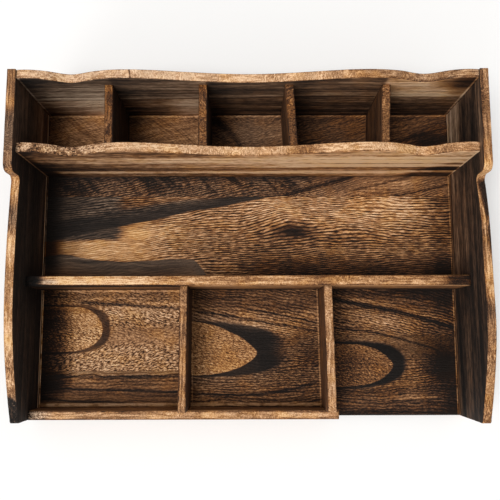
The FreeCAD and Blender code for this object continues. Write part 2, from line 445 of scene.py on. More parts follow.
def tongue_marks(x, wx, wy):
    """(dark rings, inside, change of tone inside) of the growth-ring tongues."""
    dark = inside = change = 0
    for tongue, ring, soft, gain, reach in zip(TONGUES, RINGS, RING_FADE, TONGUE_INSIDE, TONGUE_REACH):
        depth = tongue_depth(wx, wy, tongue)
        ring_depth = tongue_depth(wx, wy, ring)
        here = x.span(reach[0], reach[0] + 3, reach[1] - 3, reach[1])
        line = ring_depth.rise(-0.8, 1.8) * 0.75 + ring_depth.rise(-soft * 0.4, 0.5) * 0.25
        line *= (wx - ring[0]).fall(-soft, 0) * depth.fall(-0.3, 0.9) * here
        within = depth.rise(-0.3, 1.2) * here
        dark = line.max(dark)
        inside = within + inside
        change = within * (gain + depth.fall(3, 26) * 0.07) + change
    return dark, inside, change


def growth_marks(x, wy):
    """(dark growth lines, pale strips above some of them)"""
    lines = pale = 0
    for start, end, bow, thick, strength, glow in GROWTH_LINES:
        one, above = growth_line(x, wy, start, end, bow, thick)
        lines = (one * strength).max(lines)
        if glow:
            pale = (above * glow).max(pale)
    return lines, pale


def brush_marks(paint, x, y, wy, warp, warp_small, left_bay):
    """(short, long, stipple, dots) marks, which fan out round the tip in the left bay and
    follow the rings elsewhere; then the fan's share, and 1 where its axis breaks them."""
    from_axis = wy - FAN_Y
    fanned = (from_axis * from_axis + 30).root() + x.min(-90) * 0.26
    falling = y + x * 0.2 * y.rise(-104, -76)
    fan_share = left_bay * y.rise(-116, -112)
    field = falling.mix(fanned, fan_share)
    on_axis = left_bay * abs(from_axis).fall(3, 12) * 0.85
    short = dashes(paint, x, field + warp * 4, 3.4, 1.15, 1.6, 5) * (1 - on_axis)
    stipple = dashes(paint, x + y * 0.4, y + x * 0.22 + warp * 5, 2.8, 1.15, 1.3, 36)
    long = ripples(paint, x * 0.9, falling * 1.1 + warp * 7 + warp_small * 2, 2.8, 2.8, 7)
    dots = paint.noise(x * 0.62 + warp_small, y + warp * 3, 0, 2, 0.65, 9)
    return short, long, stipple, dots.rise(0.38, 0.6) - 0.5, fan_share, on_axis


def front_char(x, y, left_bay, middle_bay, right_bay):
    """Straight charred strips of the front floor board, bay by bay; char and painted shade at its
    ends.
    """
    left = y.fall(-122, -116) * 0.17 + y.rise(-48, -42) * 0.07
    middle = y.fall(-128, -118) * 0.08 + y.fall(-135, -129) * 0.08
    middle += y.rise(-62, -50) * 0.11 + y.rise(-50, -42) * 0.05
    right = y.fall(-136, -124) * 0.08 + y.fall(-156, -146) * 0.1
    right += y.rise(-98, -90) * 0.03 + y.rise(-44, -33) * 0.12
    right += x.fall(76, 108) * 0.12 + x.rise(186, 202) * y.fall(-134, -126) * 0.12
    right += x.rise(158, 180) * y.fall(-76, -60) * 0.11
    # Dark ends by the side walls: char, and painted shade of the walls
    left_end = x.fall(-192, -168) * y.rise(-144, -124) * (1 - y.rise(-56, -44) * 0.6)
    ends = left_end * 0.5 + x.fall(-204, -186) * 0.18 + x.rise(176, 202) * 0.08
    return left_bay * left + middle_bay * middle + right_bay * right + ends


def front_foot_lines(x, y, left_bay, middle_bay):
    """Pale lines where the brush missed the feet of the walls round the front bays."""
    sides = foot_line(INNER_X - abs(x), 1.9) * (0.8 + left_bay * 0.35)
    lip = foot_line(y - LIP_BACK - 0.2, 4.4) * (0.75 + left_bay * 0.2) * (1 - x.rise(66, 76))
    rail_share = 0.85 * left_bay * x.rise(-196, -180) + 0.12 * middle_bay
    rail = foot_line(RAIL_FRONT - y, 2.2) * rail_share
    right_divider = foot_line(69.1 + (RAIL_FRONT - y) * 0.019 - x, 1.7) * 0.6 * middle_bay
    left_divider = foot_line(x + 55.8, 1.5) * 0.45 * middle_bay
    return sides.max(lip).max(rail).max(right_divider).max(left_divider)


def floor_front_face(paint, x, y, z):
    warp = paint.noise(x * 0.03, y * 0.05, seed=3) - 0.5
    warp_small = paint.noise(x * 0.14, y * 0.22, seed=4) - 0.5
    wy = y + warp * 3 + warp_small * 1.2
    wx = x + warp * 4 + warp_small * 1.6
    left_bay = x.fall(*FRONT_LEFT_WALL)
    right_bay = x.rise(*FRONT_RIGHT_WALL)
    middle_bay = 1 - left_bay - right_bay
    dark, inside, inside_tone = tongue_marks(x, wx, wy)
    lines, pale = growth_marks(x, wy)
    marks = brush_marks(paint, x, y, wy, warp, warp_small, left_bay)
    short, long, stipple, dots, fan_share, on_axis = marks
    blotch = paint.noise(x * 0.035, y * 0.07, 0, 3, 0.6, 8) - 0.5
    streaks = fine_grain(paint, x, y + warp * 9, z, 7)[0]
    # Weaker marks inside of the tongues, in the dark rings and near the board's edges
    sides = (y.rise(-58, -50) + y.fall(-140, -118)).min(1)
    calm = 1 - inside * 0.65
    texture = (short * (0.34 + fan_share * 0.26) + long * (0.34 - fan_share * 0.24)) * calm
    texture += stipple * (inside + on_axis) * 0.3
    texture += dots * (inside * 0.16 + on_axis * 0.12 + 0.05)
    texture *= (1 - (sides + left_bay * y.fall(-120, -116)) * 0.35) * (1 - dark * 0.85)
    tone = 0.54 - middle_bay * 0.09 - right_bay * 0.22 + inside_tone + texture
    tone += blotch * 0.28 + streaks * (0.22 + sides * 0.7)
    tone -= dark * (0.36 - right_bay * 0.05 - left_bay * 0.08)
    tone -= lines * (1 - inside * 0.8) - pale
    tone += shading(paint, x, y, LEFT_BAY_PLACES) * left_bay
    tone += shading(paint, x, y, MIDDLE_BAY_PLACES) * middle_bay
    tone += shading(paint, x, y, RIGHT_BAY_PLACES) * right_bay
    tone -= front_char(x, y, left_bay, middle_bay, right_bay)
    tone = missed(tone, front_foot_lines(x, y, left_bay, middle_bay), x, y)
    relief = (short * 0.5 + long * 0.8) * calm + dots * 0.4 + streaks * 0.5 - dark * 0.4
    hue = inside * 0.38 + pale * 1.5 - dark * (0.5 - left_bay * 0.4) - lines * 0.6
    return tone, relief, hue


# Soft places of the tray's floor, and others inside of its pale heartwood
TRAY_PLACES = [
    ((110, 12), (50, 11), -0.12),
    ((172, 12), (14, 14), -0.12),
    ((28, 50), (28, 9), 0.09),
    ((-64, 57), (30, 8), 0.15),
    ((34, -8), (16, 8), 0.08),
    ((34, 57), (14, 8), 0.06),
    ((18, 57), (12, 8), 0.08),
    ((141, 57), (22, 9), 0.19),
    ((100, 25), (32, 9), -0.12),
    ((160, 50), (16, 10), 0.09),
]
HEARTWOOD_PLACES = [
    ((0, -4), (60, 24), -0.15),
    ((20, 12), (70, 18), -0.07),
    ((-80, 29), (26, 7), 0.1),
    ((-105, 25), (20, 9), 0.19),
    ((-159, 9), (14, 9), 0.08),
    ((-145, 8), (65, 18), 0.3),
    ((110, 42), (75, 14), 0.12),
]


def floor_middle_face(paint, x, y, z):
    warp = paint.noise(x * 0.02, y * 0.05, seed=11) - 0.5
    warp_small = paint.noise(x * 0.09, y * 0.2, 0, 3, 0.55, 12) - 0.5
    wy = y + warp * 2.4 + warp_small * 2
    ragged = warp_small * 14
    # The pale heartwood: below a rising edge, above a dark band, its left end eaten by char
    rising = 31.3 + (x + 131.5) * 0.195 + x.near(-60, 16) * 1.8
    block = (x + ragged * 1.2).fall(-136, -124) * (wy + ragged * 0.2).rise(14.5, 20.5)
    floor_line = -2.6 + x.near(-188, 22) * 5 - x.near(-128, 26) * 2.4
    floor_line -= x.rise(-58, -30) * 26
    above = wy - rising
    under = wy - floor_line
    tan = above.fall(-1.4, 0.8) * under.rise(-0.6, 1.2) * (1 - block)
    # Dark bands along both edges
    thick = 17 - x.rise(-140, 50) * 12.5
    band = above.span(-0.8, 0.4, thick * 0.75, thick * 1.15) * x.fall(40, 85)
    low_band = under.span(-26, -2, -0.6, 1) * x.fall(-40, -22)
    lower = under.fall(-0.6, 1) * x.fall(-44, -26)
    # The grain parts round a knot and rises a little to the right
    knot_x, knot_y = 45, 26
    parting = 1 - paint.blob(x, y, (knot_x, knot_y), (44, 24)) * 0.45
    field = (y - knot_y) * parting - x.min(40) * 0.11 + warp * 4
    lines = ripples(paint, x, field, 2.3, 2.2, 13)
    short = dashes(paint, x, field, 8, 1.2, 2, 16)
    blotch = paint.noise(x * 0.018, y * 0.06, 0, 3, 0.6, 18) - 0.5
    streaks = fine_grain(paint, x, y + warp * 12, z, 15)[0]
    eye = paint.blob(x, y, (knot_x, knot_y), (17, 6))
    halo = paint.blob(x, y, (knot_x, knot_y), (23, 11))
    tone = 0.3 + tan * 0.16
    # Char and painted shade of the rail darken the floor behind it, most to the right
    low_right = y.fall(-12, 8) * x.rise(-30, 40)
    tone -= eye * 0.32 + halo * 0.08 + low_right * 0.28
    tone += shading(paint, x, y, TRAY_PLACES) + shading(paint, x, y, HEARTWOOD_PLACES) * tan
    tone += blotch * 0.3
    smooth = tan * x.fall(-120, -70) * 0.6
    texture = (lines * 0.5 + short * 0.34) * (1 - smooth) * (1 - low_right * 0.4) * (1 - eye * 0.8)
    tone += texture * (0.4 + tan * 0.6 - band * 0.3) * (1 - lower * 0.75)
    grazed = above.rise(4, 14) * x.rise(-190, -140) * (1 - tan)
    tone += (lines * 0.35 + short * 0.3) * 0.6 * grazed
    tone += streaks * (0.3 + smooth * 0.5 + lower * 0.4)
    tone -= band * 0.13 + block * 0.03 + low_band * 0.08 - lower * 0.17
    # Char and painted shade darken the floor by the side walls and just behind the rail
    tone -= x.rise(176, 194) * 0.26 + y.fall(-24, -12) * 0.05
    tone = tone.mix(0.09, x.fall(-200, -182) * (0.55 + y.rise(-14, -4) * 0.4))
    tone = missed(tone, foot_line(INNER_X - abs(x), 1.9) * 0.6, x, y)
    relief = lines * 0.8 + short * 0.6 + streaks * 0.3 + tan * 0.3
    hue = smooth * 0.5 + tan * 0.08 - (block + band + low_band).min(1) * 0.75
    return tone, relief, hue


# Growth lines of the rear floor board: (start, end, bow, thickness, darkness)
REAR_LINES = [
    ((30, 61), (108, 83), 0, 2.2, 0.3),
    ((104, 67), (166, 81.5), 0.5, 1.3, 0.26),
    ((142, 61.5), (206, 74.5), -1, 1.3, 0.28),
    ((-186, 125), (-156, 112), 1, 1, 0.12),
    ((-42, 145), (-4, 108), 7, 5, 0.22),
    ((-108, 147), (-58, 108), 3, 0.9, 0.1),
    ((-98, 147), (-48, 110), 3, 0.9, 0.1),
    ((150, 117), (206, 134), 1, 1.4, 0.2),
]
# Soft places of the rear bays' floor
REAR_PLACES = [
    ((-30, 120), (14, 12), 0.07),
    ((-96, 118), (14, 9), -0.09),
    ((-46, 118), (9, 10), 0.12),
    ((-95, 139), (14, 8), -0.09),
]
# Feet of the walls that shade the bays, left side first
BAY_WALLS = (-INNER_X, -122.5, -37, 42.5, 127.5)


def bay_shade(x):
    """1 at the right foot of a wall, fading into the bay beside it."""
    shade = 0
    for wall in BAY_WALLS:
        shade = (x - wall).span(-3, 1, 2, 30) + shade
    return shade


def rear_tray(paint, x, y, field, lines, short):
    """Tone behind the tray's seam, where charred tongues lick down from the wall."""
    rings = paint.noise(field * 0.11, x * 0.004, 0, 2, 0.6, 26) - 0.5
    lick = paint.noise((x + y * 1.1) * 0.055, y * 0.015, 0, 2, 0.55, 27).rise(0.47, 0.6)
    reach = paint.noise(x * 0.03, 0, 0, 1, 0.5, 29) * 16
    to_right = x.rise(20, 120)
    brushed = (lines * 0.34 + short * 0.32) * y.fall(76, 82).max(0.5)
    tone = 0.28 + to_right * 0.2 + brushed * (1 - x.rise(50, 110) * 0.4)
    tone -= lick * (y + reach).rise(70, 82) * x.fall(30, 100) * 0.26
    # Char and painted shade darken the floor by the side walls; it darkens too at the foot of the tall
    # panel
    tone -= x.fall(-190, -150) * 0.1 + y.rise(76, 82) * 0.06
    tone += rings * 0.5 * to_right - x.rise(176, 200) * 0.05
    tone += paint.blob(x, y, (160, 72), (15, 9)) * 0.09
    tone -= paint.blob(x, y, (98, 73), (14, 8)) * 0.09
    tone = tone.mix(0.08, x.fall(-200, -180) * 0.9)
    foot = foot_line(INNER_X - abs(x), 1.9) * (0.55 + x.rise(0, 100) * 0.2)
    return missed(tone, foot, x, y)


def rear_bays(paint, x, y, warp, lines, short, streaks):
    """Tone in the rear bays, where the rings fan out from the middle."""
    fanned = (y + x * 0.8).mix(y - x * 0.3, x.rise(-20, 30)) + warp * 14
    arcs = paint.noise(fanned * 0.075, x * 0.003, 0, 2, 0.6, 28)
    hatch = ripples(paint, x, fanned * 0.9, 2.6, 5.5, 33)
    tone = 0.58 - x.rise(-140, 0) * 0.12 - x.rise(40, 70) * 0.15
    tone += short * 0.16 + hatch * 0.09 + lines * 0.07 + streaks * 0.5
    tone -= arcs.rise(0.56, 0.66) * 0.1 + bay_shade(x) * 0.22
    tone += shading(paint, x, y, REAR_PLACES)
    tone -= x.rise(162, 182) * y.fall(124, 132) * 0.28
    tone += foot_line(BACK_FRONT - y, 2.4) * 0.2
    # The floor darkens near the back wall, and with painted shade near the tall panel
    return tone - y.rise(134, 146) * 0.03 - y.fall(108, 120) * 0.06


def floor_rear_face(paint, x, y, z):
    warp = paint.noise(x * 0.015, y * 0.04, seed=21) - 0.5
    warp_small = paint.noise(x * 0.12, y * 0.16, seed=25) - 0.5
    # The rings run askew here
    field = y - x * 0.2 + warp * 9
    lines = ripples(paint, x, field, 2.5, 2.4, 22)
    short = dashes(paint, x, field, 4, 1.2, 1.8, 24)
    streaks = fine_grain(paint, x, field, z, 23)[0]
    in_tray = y.fall(82, 86)
    bays = rear_bays(paint, x, y, warp, lines, short, streaks)
    tone = bays.mix(rear_tray(paint, x, y, field, lines, short), in_tray)
    dark = 0
    for start, end, bow, thick, strength in REAR_LINES:
        one = growth_line(x, y + warp_small * 2.5, start, end, bow, thick)[0]
        dark = (one * strength).max(dark)
    hue = 0.05 - in_tray * 0.22 + x.rise(60, 140) * 0.2
    hue -= paint.blob(x, y, (0, 128), (40, 22)) * 0.3
    return (tone - dark).max(0.05), lines * 0.5 + short * 0.6, hue


def lined(paint, x, across, deep, slow, seed):
    """Straight-grained texture about 0: fine streaks, broad bands, thin lines, pores."""
    streaks, pores = fine_grain(paint, x, across, deep, seed)
    broad = paint.noise(x * slow, across * 0.1, deep * 0.05, 3, 0.55, seed + 1) - 0.5
    bands = paint.noise(x * slow * 1.2, across * 0.15, deep * 0.1, 1, 0.5, seed + 2)
    thin = paint.noise(x * slow * 2, across * 0.36, deep * 0.2, 2, 0.65, seed + 3)
    flecks = dashes(paint, x, across, 11, 4.2, 2, seed + 4)
    thin = (bands.rise(0.4, 0.6) - 0.5) * 0.8 + (thin.rise(0.38, 0.62) - 0.5) * 0.5 + flecks * 0.8
    return streaks, broad, thin, pores


def tall_face(paint, x, z, y):
    warp = paint.noise(x * 0.006, z * 0.02, seed=31) - 0.5
    wz = z + warp * 3
    streaks, broad, thin, pores = lined(paint, x, wz, y, 0.005, 32)
    # Painted light and shade: the face grows lighter to the right, away from the shade of the left
    # side
    to_right = x.rise(-70, 110)
    tone = 0.65 + to_right * 0.34
    tone += streaks * 0.9 + broad * 0.34 + thin * 0.26 - pores * 0.06
    # Bright band, dark band, pale line and a dark foot of char and painted shade, from the top down
    tone += wz.rise(47.5, 50).mix(wz.rise(62, 68), 1 - to_right) * wz.fall(76, 86) * 0.19
    band_top = 45.4 + to_right * 1.1
    tone += (wz.near(66, 4.2) + wz.near(51, 3)) * to_right * 0.14
    dark_lines = wz.near(59.5, 2) + wz.near(73.5, 1.6) * 0.6 + wz.near(55, 1) * 0.6
    tone -= dark_lines * to_right * 0.42 + z.rise(78, 84) * to_right * 0.09
    tone -= z.rise(80, 88) * x.span(-110, -90, 80, 110) * 0.07
    tone -= wz.rise(32, 34.5) * (wz - band_top).fall(-1.5, 1) * (0.24 + to_right * 0.25)
    tone += wz.span(23, 26, 30.5, 33) * (0.22 - to_right * 0.06)
    tone -= wz.fall(20, 24) * (0.17 + to_right * 0.26) + wz.fall(10, 14) * 0.12
    tone -= z.rise(84, 92) * 0.1
    # Painted shade at the left end and char at the right end
    tone -= x.fall(-206, -140) * 0.26
    tone -= (x - (z - 50) * 0.7).rise(168, 190) * z.fall(66, 86) * 0.46
    # A painted shadow of the left side, slanting, near that side
    tone = tone.mix(0.07, (x + (z - 26) * 0.24).fall(-195, -181) * 0.85)
    tone += foot_line(INNER_X - abs(x), 2.6) * 0.45
    rear = paint.normal[1].rise(0.3, 0.7)
    tone = tone.mix(0.28 + streaks * 0.6 + broad * 0.3, rear)
    return tone.max(0.04), streaks + thin * 0.6 - pores * 0.3, to_right * 0.1 - x.fall(-150, -40) * 0.1


def back_face(paint, x, z, y):
    warp = paint.noise(x * 0.006, z * 0.02, seed=41) - 0.5
    wz = z + warp * 2
    streaks, broad, thin, pores = lined(paint, x, wz, y, 0.006, 42)
    # The upper tone ends at a line that climbs to the fourth bay
    change = 59.5 + x.min(80) * 0.045 - (x - 80).max(0) * 0.035
    is_upper = (z - change).rise(-0.6, 0.6)
    first_bay = x.fall(*REAR_LEFT_WALL)
    last_bay = x.rise(*REAR_RIGHT_WALL)
    # Painted light and shade: each bay grows lighter from its left wall, which shades it, to its right
    # wall
    lit_end = x.rise(-176, -140) * first_bay + x.span(-90, -58, -40, -36)
    lit_end *= (0.45 + z.fall(52, 58) * 1.25)
    upper = 0.48 + first_bay * 0.22 + last_bay * 0.47 - x.rise(-40, -34) * z.rise(62, 72) * 0.05
    upper += streaks * 0.8 + broad * 0.45 + thin * 0.13
    upper -= z.rise(66, 95) * first_bay * 0.3 + z.rise(80, 92) * x.fall(-60, -30) * 0.06
    upper -= x.rise(160, 188) * z.rise(74, 90) * 0.4 + x.rise(180, 198) * 0.3
    upper += z.rise(88, 100) * x.near(98, 16) * 0.16
    lower = 0.42 + first_bay * 0.32 + x.fall(-60, -20) * 0.09 - x.rise(0, 60) * 0.01
    lower += streaks * 0.8 + broad * 0.35 + thin * 0.16
    lower += last_bay * z.rise(42, 48) * 0.1 - z.fall(14, 44) * (0.08 + first_bay * 0.08)
    tone = lower.mix(upper, is_upper) - pores * 0.05
    # A pale line over the seam, a dark one in it
    tone += z.near(change + 4.4, 2.4) * (0.18 - last_bay * 0.15)
    tone -= (z - change).span(-3, -1, 0.2, 0.8) * 0.14
    tone -= z.fall(9, 15) * 0.16
    tone += lit_end * 0.24 - bay_shade(x) * (0.12 + first_bay * 0.1)
    tone += foot_line(INNER_X - abs(x), 2.8) * 0.4
    behind = paint.normal[1].rise(0.3, 0.7)
    tone = tone.mix(0.4 + streaks * 0.6 + broad * 0.4, behind)
    hue = -0.22 - is_upper * x.fall(-120, 160) * 0.32 - first_bay * 0.15 + last_bay * is_upper * 0.22
    return tone.max(0.04), streaks + thin * 0.6 - pores * 0.3, hue


def side_face(inner_tone, inner_sign, low_light, seed, paint, y, z, x):
    """Faces of a side: inner_sign is 1 where the inner one looks toward +X, and low_light
    brightens its rear part near the floor."""
    warp = paint.noise(y * 0.01, z * 0.02, seed=seed) - 0.5
    wz = z + warp * 10
    streaks, broad, thin, pores = lined(paint, y, wz, x, 0.008, seed + 1)
    behind_tall = y.rise(TALL_FRONT, TALL_BACK)
    contrast = 0.35 + low_light * 3
    inner = inner_tone + streaks * 0.5 + (broad * 0.7 + thin * 0.16) * contrast
    inner += wz.fall(20, 70) * y.rise(-50, 10) * low_light * (0.8 + broad * 3)
    inner += behind_tall * (0.19 + z.fall(45, 60) * low_light * 0.6)
    inner -= paint.blob(y, z, (104, 78), (22, 22)) * low_light * 0.9
    inner -= z.fall(9, 14) * 0.08
    inner += foot_line(z - FLOOR_TOP, 3.4 - inner_sign * 0.5) * (0.62 + inner_sign * 0.24)
    if inner_sign < 0:
        inner += z.span(16, 22, 36, 44) * y.rise(-50, -10) * 0.13
        inner -= z.fall(24, 30) * y.fall(-60, -40) * 0.08
        inner -= paint.blob(y, z, (112, 40), (16, 22)) * 0.12
        inner -= paint.blob(y, z, (134, 70), (14, 26)) * 0.1
    inner -= paint.blob(y, z, (-30, 52), (20, 22)) * 0.14
    rings = (wz * 0.16 + paint.noise(y * 0.012, z * 0.03, seed=seed + 3) * 9).sin()
    outer = 0.36 + streaks * 0.6 + broad * 0.4 - rings.rise(0.5, 0.95) * 0.16 - pores * 0.08
    facing_in = (paint.normal[0] * inner_sign).rise(-0.3, 0.3)
    tone = outer.mix(inner, facing_in).max(0.035)
    at_foot = foot_line(z - FLOOR_TOP, 6)
    return tone, streaks + thin * 0.4 - pores * 0.3, facing_in * (at_foot * 0.35 - 0.45)


def plain_face(base, seed, lit, foot_dark, paint, along, across, deep):
    """Faces of a narrow board: lit paints light on faces toward -X and shade on faces toward +X."""
    warp = paint.noise(along * 0.012, across * 0.03, seed=seed) - 0.5
    wz = across + warp * 6
    streaks, broad, thin, pores = lined(paint, along, wz, deep, 0.01, seed + 1)
    tone = base + streaks * 0.6 + broad * 0.45 + thin * 0.1 - pores * 0.1
    tone -= across.fall(14, 30) * foot_dark
    tone -= paint.normal[0] * lit
    return tone.max(0.04), streaks + thin * 0.4 - pores * 0.3


# Painted shade: the left side's inner face, turned from the key light, is darker in tone than the
# right's
left_face = partial(side_face, 0.12, 1, 0.1, 50)
right_face = partial(side_face, 0.22, -1, 0.22, 60)
lip_face = partial(plain_face, 0.52, 80, 0, 0)
divider_face = partial(plain_face, 0.27, 90, 0.09, 0)
low_divider_face = partial(plain_face, 0.3, 95, 0.08, 0)


def rail_face(paint, x, z, y):
    tone, relief = plain_face(0.5, 70, 0, 0.36, paint, x, z, y)
    # Painted light on the upper part of the face in the left bay; the left end darker
    tone += z.rise(40, 50) * x.rise(-170, -90) * 0.12 - x.fall(-200, -150) * 0.24
    tone = tone.mix(0.06, z.rise(47.2, 48.6) * x.fall(-66, -46) * 0.9)
    tone = tone.mix(0.66, z.fall(12, 15) * x.span(-190, -176, *FRONT_LEFT_WALL) * 0.8)
    return tone.max(0.04), relief


# Marks on the edges: each function gives (change of tone, hue)

# Long patches on the top edges of the sides: (middle y, reach, tone, hue)
LEFT_PATCHES = [
    (125, 6.5, 0.14, 0.6),
    (100, 20, -0.1, -0.4),
    (68, 5, -0.16, -0.2),
    (54, 11, 0.1, 0.35),
    (27, 13, -0.22, -0.25),
    (-3, 13, 0.2, 0.3),
    (-50, 18, 0.09, 0.05),
    (-84, 12, 0.22, 0.3),
    (-107, 5, -0.1, 0),
    (-119, 5, 0.1, -0.1),
    (-131, 6, -0.14, -0.2),
]
RIGHT_PATCHES = [
    (125, 10, -0.1, 0.1),
    (84, 16, 0.04, 0.2),
    (66, 5, 0.2, 0.4),
    (38, 24, 0.12, 0.3),
    (-25, 24, 0.16, 0.45),
    (-58, 9, -0.24, -0.15),
    (-128, 14, 0.06, 0.3),
]


def long_patches(along, patches):
    tone = hue = 0
    for place, reach, gain, tint in patches:
        here = along.near(place, reach)
        tone = here * gain + tone
        hue = here * tint + hue
    return tone, hue


def left_edge(paint, y, z, x):
    tone, hue = long_patches(y, LEFT_PATCHES)
    cut = y + x * 0.5 + paint.noise(y * 0.2, x * 0.3, z * 0.2) * 4
    char = cut.fall(-238, -234)
    rust = x.fall(-212, -209) * y.near(45, 20)
    white = paint.noise(x * 0.9, y * 0.9, z).rise(0.66, 0.72) * char
    return tone - y.rise(62, 78) * 0.08 - char * 0.52 - rust * 0.25 + white * 0.5, hue - char * 0.5


def right_edge(paint, y, z, x):
    tone, hue = long_patches(y, RIGHT_PATCHES)
    rear = y.rise(66, 80) * (0.02 - x.fall(204, 210) * 0.22)
    outer_char = x.rise(208, 211.5) * y.span(-14, -2, 52, 62)
    notch_char = (x - INNER_X + (y - 45) * 0.12).rise(1, 4) * y.span(20, 34, 56, 64)
    inner_char = x.fall(205.5, 208) * y.span(-60, -40, 26, 40)
    char = (outer_char * 0.3 + notch_char * 0.45 + inner_char * 0.26).min(0.55)
    return tone + rear - char, hue - char * 0.4


def back_edge(paint, x, z, y):
    front_char = y.fall(148.5, 150.5) * x.rise(112, 130) * 0.16
    crack = (x + (y - 150) * 0.15).near(-104.5, 0.7) * 0.5
    bare = x.near(-76, 24) * 0.13
    tone = x.fall(30, 90) * 0.13 - x.rise(150, 190) * 0.04 - front_char - crack + bare
    return tone, x.fall(-120, 20) * -0.15 + x.rise(120, 160) * -0.15


def tall_edge(paint, x, z, y):
    speckle = paint.noise(x * 0.5, z * 0.6, y * 0.8, 2, 0.7).rise(0.44, 0.56)
    blocks = paint.noise(x * 0.13, y * 0.16, 0, 1, 0.5, 35).rise(0.42, 0.58) - 0.5
    outline = abs(paint.noise(x * 0.2, y * 0.42, 0, 1, 0.5, 37) - 0.5).fall(0.01, 0.05)
    ragged = x.fall(-160, -105)
    tone = 0.09 - ragged * (0.16 - speckle * 0.18 + outline * 0.34 - blocks * 0.3)
    tone -= x.near(52, 14) * 0.16 - x.near(136, 14) * 0.12
    tone -= x.rise(154, 168) * 0.12
    return tone - y.fall(83, 84.5) * 0.1, ragged * -0.12 + x.rise(-40, 20) * 0.1


def rail_edge(paint, x, z, y):
    left_char = x.fall(-197, -185)
    char = left_char * 0.8 + x.rise(176, 194) * 0.52
    white = paint.blob(x, y, (-184, -29), (9, 3))
    slope = x.fall(-102, -74) * 0.21 - x.fall(-184, -165) * 0.14 - x.rise(60, 160) * 0.05 - 0.1
    slope -= x.near(67, 9) * 0.14
    front_char = y.fall(-32, -31.2) * (0.14 + x.fall(-90, -30) * 0.4 + x.fall(-184, -150) * 0.3)
    glow = y.fall(-31, -26) * 0.1 + y.rise(-25.4, -24.4) * 0.05
    return slope + glow - front_char - char + white * 0.12, 0.22 - white * 0.8 - left_char * 0.5


def lip_edge(paint, x, z, y):
    ragged = x.fall(-204, -176)
    speckle = paint.noise(x * 0.7, z * 0.6, y * 0.9, 1).rise(0.44, 0.56)
    char = x.fall(-206, -197) * 0.3
    tone = 0.01 - ragged * (0.22 - speckle * 0.4) - char
    return tone - y.fall(-154.6, -153.6) * 0.1 - y.rise(-149.6, -148.2) * 0.16, ragged * -0.55


def divider_edge(paint, y, z, x):
    rear_tip = y.rise(138, 144) * x.fall(-100, -90)
    tone = rear_tip * 0.16 - x.fall(-100, -90) * 0.05 + x.rise(90, 100) * 0.05
    return tone - x.near(43, 20) * 0.05, rear_tip * 0.5 + 0.3


def low_divider_edge(paint, y, z, x):
    return x.rise(0, 20) * 0.12 - 0.04, 0


def steel():
    paint = Paint("brad_steel")
    scratch = paint.noise(paint.x * 2, paint.y * 2, paint.z * 2, 3, 0.6, 1)
    colour = paint.ramp(scratch, [(0.3, (95, 92, 88)), (0.7, (150, 148, 144))])
    paint.link(colour, paint.shader.inputs["Base Color"])
    paint.shader.inputs["Metallic"].default_value = 0.9
    paint.plug(0.35 + scratch * 0.25, paint.shader.inputs["Roughness"])
    paint.bump(scratch, 0.0001, 0.3)
    return paint.material


# Boards

# Spacing of points along sawn outlines and planed boards, steps of a rounded edge, and
# depths of the dents in sawn edges and planed tops
OUTLINE_STEP = 1.6 * MM
SWEEP_STEP = 3 * MM
ROUND_TURNS = 4
SAWN_DENT = 0.22 * MM
PLANED_DENT = 0.18 * MM


def add_object(name, data):
    thing = bpy.data.objects.new(name, data)
    bpy.context.collection.objects.link(thing)
    return thing


def other_axes(axis):
    return [i for i in range(3) if i != axis]


def place_at(axis, level, p, q):
    """Point at a level along an axis; p and q lie along the other two, in their order."""
    place = [p, q]
    place.insert(axis, level)
    return place


def cap_outline(node, axis, end):
    """Outer loop of the flat end of a CAD node, in metres, as points on the other two axes."""
    mesh = nodes[node].data
    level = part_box(node)[end][axis]
    sides = []
    for polygon in mesh.polygons:
        corners = [mesh.vertices[i].co for i in polygon.vertices]
        if all(abs(corner[axis] - level) < 2 * MICRON for corner in corners):
            keys = [tuple(round(corner[i] / MICRON) for i in other_axes(axis)) for corner in corners]
            sides += [(a, b) for a, b in zip(keys, keys[1:] + keys[:1]) if a != b]
    known = set(sides)
    border = {a: b for a, b in sides if (b, a) not in known}
    loops = []
    while border:
        start, here = border.popitem()
        loop = [start, here]
        while here in border:
            here = border.pop(here)
            loop.append(here)
        loops.append(loop[:-1] if loop[0] == loop[-1] else loop)
    outline = max(loops, key=lambda loop: max(p[0] for p in loop) - min(p[0] for p in loop))
    points = [(a * MICRON, b * MICRON) for a, b in outline]
    area = sum(p[0] * q[1] - q[0] * p[1] for p, q in zip(points, points[1:] + points[:1]))
    return points if area > 0 else points[::-1]


def dense(points, step):
    """The loop with points about a step apart, and none much closer."""
    found = []
    for a, b in zip(points, points[1:] + points[:1]):
        parts = max(1, round(math.dist(a, b) / step))
        found += [tuple(p + (q - p) * i / parts for p, q in zip(a, b)) for i in range(parts)]
    clean = [found[0]]
    for point in found[1:]:
        if math.dist(point, clean[-1]) > step * 0.25:
            clean.append(point)
    return clean


def inward(points):
    """Inward directions of a loop that runs anticlockwise."""
    ways = []
    for before, here, after in zip(points[-1:] + points[:-1], points, points[1:] + points[:1]):
        one = Vector((here[0] - before[0], here[1] - before[1])).normalized()
        two = Vector((after[0] - here[0], after[1] - here[1])).normalized()
        way = Vector((-one.y - two.y, one.x + two.x))
        way.normalize()
        ways.append(way / max(0.5, way.dot(Vector((-one.y, one.x)))))
    return ways


def add_board(node, points, count, axis, material):
    """Joins rows of count points along an axis, closes both ends and puts the board in the
    place of its CAD node."""
    faces = []
    for row in range(0, len(points) - count, count):
        for i in range(count):
            j = (i + 1) % count
            faces.append((row + i, row + j, row + count + j, row + count + i))
    faces.append(tuple(range(count))[::-1])
    faces.append(tuple(range(len(points) - count, len(points))))
    if axis == Y:
        faces = [face[::-1] for face in faces]
    name = node + "_board"
    mesh = bpy.data.meshes.new(name)
    mesh.from_pydata(points, [], faces)
    mesh.materials.append(material)
    for polygon in mesh.polygons:
        polygon.use_smooth = polygon.index < len(faces) - 2
    mesh.validate()
    piece = add_object(name, mesh)
    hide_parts(node)
    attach(piece, "root")


